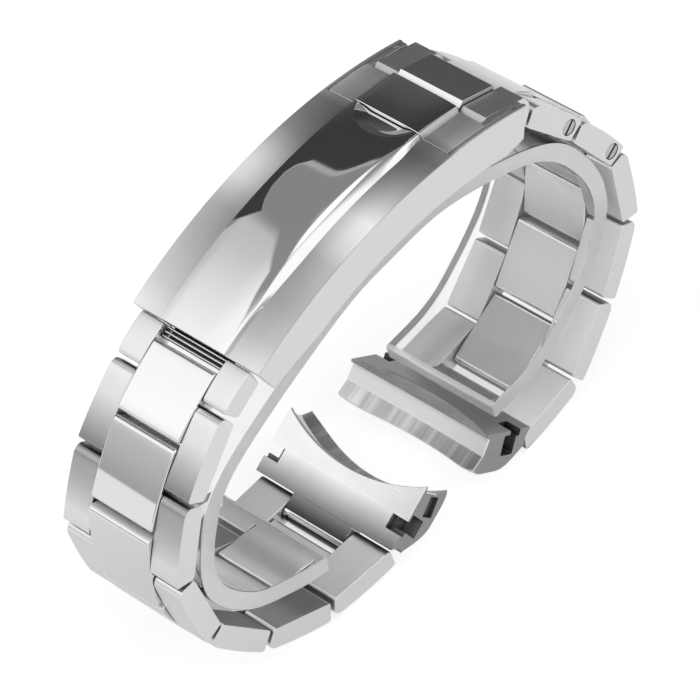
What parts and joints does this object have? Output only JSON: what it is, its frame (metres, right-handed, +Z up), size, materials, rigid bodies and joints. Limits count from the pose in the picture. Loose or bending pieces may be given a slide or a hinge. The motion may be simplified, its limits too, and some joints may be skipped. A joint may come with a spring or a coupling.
{
  "type": "watch bracelet",
  "caption": "Link watch bracelet in steel with a folding clasp, safety catch, sliding adjuster and solid end links, closed round its clear former.",
  "frame": {"origin": "middle of the underside of the bracelet as it stands with the clasp on top", "axes": "+X across the bracelet, +Y along the long way of the oval towards the clasp's flip lock, +Z up"},
  "size_m": [0.02, 0.0732, 0.0485],
  "materials": {
    "cover_steel": "fine brushed bands with a polished middle strip",
    "link_steel": "satin brushed",
    "polished_steel": "mirror polished",
    "pin_steel": "turned",
    "blade_steel": "polished sheet",
    "clear_plastic": "clear flexible plastic"
  },
  "bodies": {
    "clasp": {"clasp_cover": "cover_steel", "glide_rack": "pin_steel", "cover_hinge_pin": "pin_steel", "flip_lock_pins": "pin_steel"},
    "flip_lock": {"flip_lock": "cover_steel"},
    "upper_blade": {"upper_blade": "blade_steel", "fold_hinge_pin": "pin_steel"},
    "lower_blade": {"lower_blade": "blade_steel", "latch_stud": "pin_steel", "blade_end_plates": "link_steel", "blade_end_block": "polished_steel", "blade_end_screw": "pin_steel"},
    "glide": {"glide_carriage": "blade_steel", "glide_pin": "pin_steel"},
    "former": {"clear_former": "clear_plastic"},
    "side_a_centre_1": {"side_a_centre_link_1": "polished_steel"},
    "side_a_outer_1": {"side_a_outer_links_1": "link_steel", "side_a_link_pins_1": "pin_steel"},
    "side_a_centre_2": {"side_a_centre_link_2": "polished_steel"},
    "side_a_outer_2": {"side_a_outer_links_2": "link_steel", "side_a_link_pins_2": "pin_steel"},
    "side_a_centre_3": {"side_a_centre_link_3": "polished_steel"},
    "side_a_outer_3": {"side_a_outer_links_3": "link_steel", "side_a_link_pins_3": "pin_steel"},
    "side_a_centre_4": {"side_a_centre_link_4": "polished_steel"},
    "side_a_outer_4": {"side_a_outer_links_4": "link_steel", "side_a_link_pins_4": "pin_steel"},
    "side_a_centre_5": {"side_a_centre_link_5": "polished_steel"},
    "side_a_outer_5": {"side_a_outer_links_5": "link_steel", "side_a_link_pins_5": "pin_steel"},
    "side_a_centre_6": {"side_a_centre_link_6": "polished_steel"},
    "side_a_outer_6": {"side_a_outer_links_6": "link_steel", "side_a_link_pins_6": "pin_steel"},
    "end_link_a": {"end_link_a": "link_steel"},
    "side_b_centre_1": {"side_b_centre_link_1": "polished_steel"},
    "side_b_outer_1": {"side_b_outer_links_1": "link_steel", "side_b_link_pins_1": "pin_steel"},
    "side_b_centre_2": {"side_b_centre_link_2": "polished_steel"},
    "side_b_outer_2": {"side_b_outer_links_2": "link_steel", "side_b_link_pins_2": "pin_steel"},
    "side_b_centre_3": {"side_b_centre_link_3": "polished_steel"},
    "side_b_outer_3": {"side_b_outer_links_3": "link_steel", "side_b_link_pins_3": "pin_steel"},
    "side_b_centre_4": {"side_b_centre_link_4": "polished_steel"},
    "side_b_outer_4": {"side_b_outer_links_4": "link_steel", "side_b_link_pins_4": "pin_steel"},
    "side_b_centre_5": {"side_b_centre_link_5": "polished_steel"},
    "side_b_outer_5": {"side_b_outer_links_5": "link_steel", "side_b_link_pins_5": "pin_steel"},
    "side_b_centre_6": {"side_b_centre_link_6": "polished_steel"},
    "side_b_outer_6": {"side_b_outer_links_6": "link_steel", "side_b_link_pins_6": "pin_steel"},
    "end_link_b": {"end_link_b": "link_steel"}
  },
  "joints": [
    {"name": "clasp_opening", "type": "hinge", "parent": "clasp", "child": "upper_blade", "pos_m": [0, 0.00733, 0.04539], "axis": [1, 0, 0], "range_deg": [0, 165], "deforming": ["clear_former"]},
    {"name": "blade_fold", "type": "hinge", "parent": "upper_blade", "child": "lower_blade", "pos_m": [0, -0.01496, 0.04031], "axis": [1, 0, 0], "range_deg": [-165, 0]},
    {"name": "flip_lock_hinge", "type": "hinge", "parent": "clasp", "child": "flip_lock", "pos_m": [0, 0.01893, 0.04506], "axis": [-1, 0, 0], "range_deg": [0, 100]},
    {"name": "adjuster_glide", "type": "hinge", "parent": "clasp", "child": "glide", "pos_m": [0, 0.00609, -0.01145], "axis": [1, 0, 0], "range_deg": [0, 7.5]},
    {"name": "former_pull", "type": "slide", "parent": "clasp", "child": "former", "axis": [1, 0, 0], "range_m": [0, 0.025]},
    {"name": "side_a_centre_1_hinge", "type": "hinge", "parent": "glide", "child": "side_a_centre_1", "pos_m": [0, -0.02358, 0.03798], "axis": [-1, 0, 0], "range_deg": [0, 5.5]},
    {"name": "side_a_outer_1_hinge", "type": "hinge", "parent": "side_a_centre_1", "child": "side_a_outer_1", "pos_m": [0, -0.02645, 0.03598], "axis": [-1, 0, 0], "range_deg": [0, 12.5]},
    {"name": "side_a_centre_2_hinge", "type": "hinge", "parent": "side_a_outer_1", "child": "side_a_centre_2", "pos_m": [0, -0.03069, 0.03159], "axis": [-1, 0, 0], "range_deg": [0, 12]},
    {"name": "side_a_outer_2_hinge", "type": "hinge", "parent": "side_a_centre_2", "child": "side_a_outer_2", "pos_m": [0, -0.03262, 0.02868], "axis": [-1, 0, 0], "range_deg": [0, 13]},
    {"name": "side_a_centre_3_hinge", "type": "hinge", "parent": "side_a_outer_2", "child": "side_a_centre_3", "pos_m": [0, -0.03491, 0.02302], "axis": [-1, 0, 0], "range_deg": [0, 20.5]},
    {"name": "side_a_outer_3_hinge", "type": "hinge", "parent": "side_a_centre_3", "child": "side_a_outer_3", "pos_m": [0, -0.03509, 0.01953], "axis": [-1, 0, 0], "range_deg": [0, 18]},
    {"name": "side_a_centre_4_hinge", "type": "hinge", "parent": "side_a_outer_3", "child": "side_a_centre_4", "pos_m": [0, -0.03367, 0.01359], "axis": [-1, 0, 0], "range_deg": [0, 16.5]},
    {"name": "side_a_outer_4_hinge", "type": "hinge", "parent": "side_a_centre_4", "child": "side_a_outer_4", "pos_m": [0, -0.032, 0.01052], "axis": [-1, 0, 0], "range_deg": [0, 16.5]},
    {"name": "side_a_centre_5_hinge", "type": "hinge", "parent": "side_a_outer_4", "child": "side_a_centre_5", "pos_m": [0, -0.02781, 0.00609], "axis": [-1, 0, 0], "range_deg": [0, 15]},
    {"name": "side_a_outer_5_hinge", "type": "hinge", "parent": "side_a_centre_5", "child": "side_a_outer_5", "pos_m": [0, -0.02487, 0.00418], "axis": [-1, 0, 0], "range_deg": [0, 14.5]},
    {"name": "side_a_centre_6_hinge", "type": "hinge", "parent": "side_a_outer_5", "child": "side_a_centre_6", "pos_m": [0, -0.01914, 0.00209], "axis": [-1, 0, 0], "range_deg": [0, 15]},
    {"name": "side_a_outer_6_hinge", "type": "hinge", "parent": "side_a_centre_6", "child": "side_a_outer_6", "pos_m": [0, -0.01567, 0.00169], "axis": [-1, 0, 0], "range_deg": [0, 9]},
    {"name": "end_link_a_hinge", "type": "hinge", "parent": "side_a_outer_6", "child": "end_link_a", "pos_m": [0, -0.00957, 0.0018], "axis": [-1, 0, 0], "range_deg": [0, 34.5]},
    {"name": "side_b_centre_1_hinge", "type": "hinge", "parent": "lower_blade", "child": "side_b_centre_1", "pos_m": [0, 0.02047, 0.04345], "axis": [1, 0, 0], "range_deg": [0, 21.5]},
    {"name": "side_b_outer_1_hinge", "type": "hinge", "parent": "side_b_centre_1", "child": "side_b_outer_1", "pos_m": [0, 0.02335, 0.04146], "axis": [1, 0, 0], "range_deg": [0, 14]},
    {"name": "side_b_centre_2_hinge", "type": "hinge", "parent": "side_b_outer_1", "child": "side_b_centre_2", "pos_m": [0, 0.0275, 0.03698], "axis": [1, 0, 0], "range_deg": [0, 5.5]},
    {"name": "side_b_outer_2_hinge", "type": "hinge", "parent": "side_b_centre_2", "child": "side_b_outer_2", "pos_m": [0, 0.02969, 0.03425], "axis": [1, 0, 0], "range_deg": [0, 5.5]},
    {"name": "side_b_centre_3_hinge", "type": "hinge", "parent": "side_b_outer_2", "child": "side_b_centre_3", "pos_m": [0, 0.03317, 0.02925], "axis": [1, 0, 0], "range_deg": [0, 17.5]},
    {"name": "side_b_outer_3_hinge", "type": "hinge", "parent": "side_b_centre_3", "child": "side_b_outer_3", "pos_m": [0, 0.0343, 0.02593], "axis": [1, 0, 0], "range_deg": [0, 17]},
    {"name": "side_b_centre_4_hinge", "type": "hinge", "parent": "side_b_outer_3", "child": "side_b_centre_4", "pos_m": [0, 0.03465, 0.01984], "axis": [1, 0, 0], "range_deg": [0, 21]},
    {"name": "side_b_outer_4_hinge", "type": "hinge", "parent": "side_b_centre_4", "child": "side_b_outer_4", "pos_m": [0, 0.03368, 0.01648], "axis": [1, 0, 0], "range_deg": [0, 17.5]},
    {"name": "side_b_centre_5_hinge", "type": "hinge", "parent": "side_b_outer_4", "child": "side_b_centre_5", "pos_m": [0, 0.03043, 0.01132], "axis": [1, 0, 0], "range_deg": [0, 7]},
    {"name": "side_b_outer_5_hinge", "type": "hinge", "parent": "side_b_centre_5", "child": "side_b_outer_5", "pos_m": [0, 0.02829, 0.00855], "axis": [1, 0, 0], "range_deg": [0, 7]},
    {"name": "side_b_centre_6_hinge", "type": "hinge", "parent": "side_b_outer_5", "child": "side_b_centre_6", "pos_m": [0, 0.02412, 0.0041], "axis": [1, 0, 0], "range_deg": [0, 19.5]},
    {"name": "side_b_outer_6_hinge", "type": "hinge", "parent": "side_b_centre_6", "child": "side_b_outer_6", "pos_m": [0, 0.02105, 0.00241], "axis": [1, 0, 0], "range_deg": [0, 20.5]},
    {"name": "end_link_b_hinge", "type": "hinge", "parent": "side_b_outer_6", "child": "end_link_b", "pos_m": [0, 0.01504, 0.00137], "axis": [1, 0, 0], "range_deg": [0, 44]}
  ],
  "couplings": [
    {"joint": "blade_fold", "follows": "clasp_opening", "ratio": -1}
  ]
}
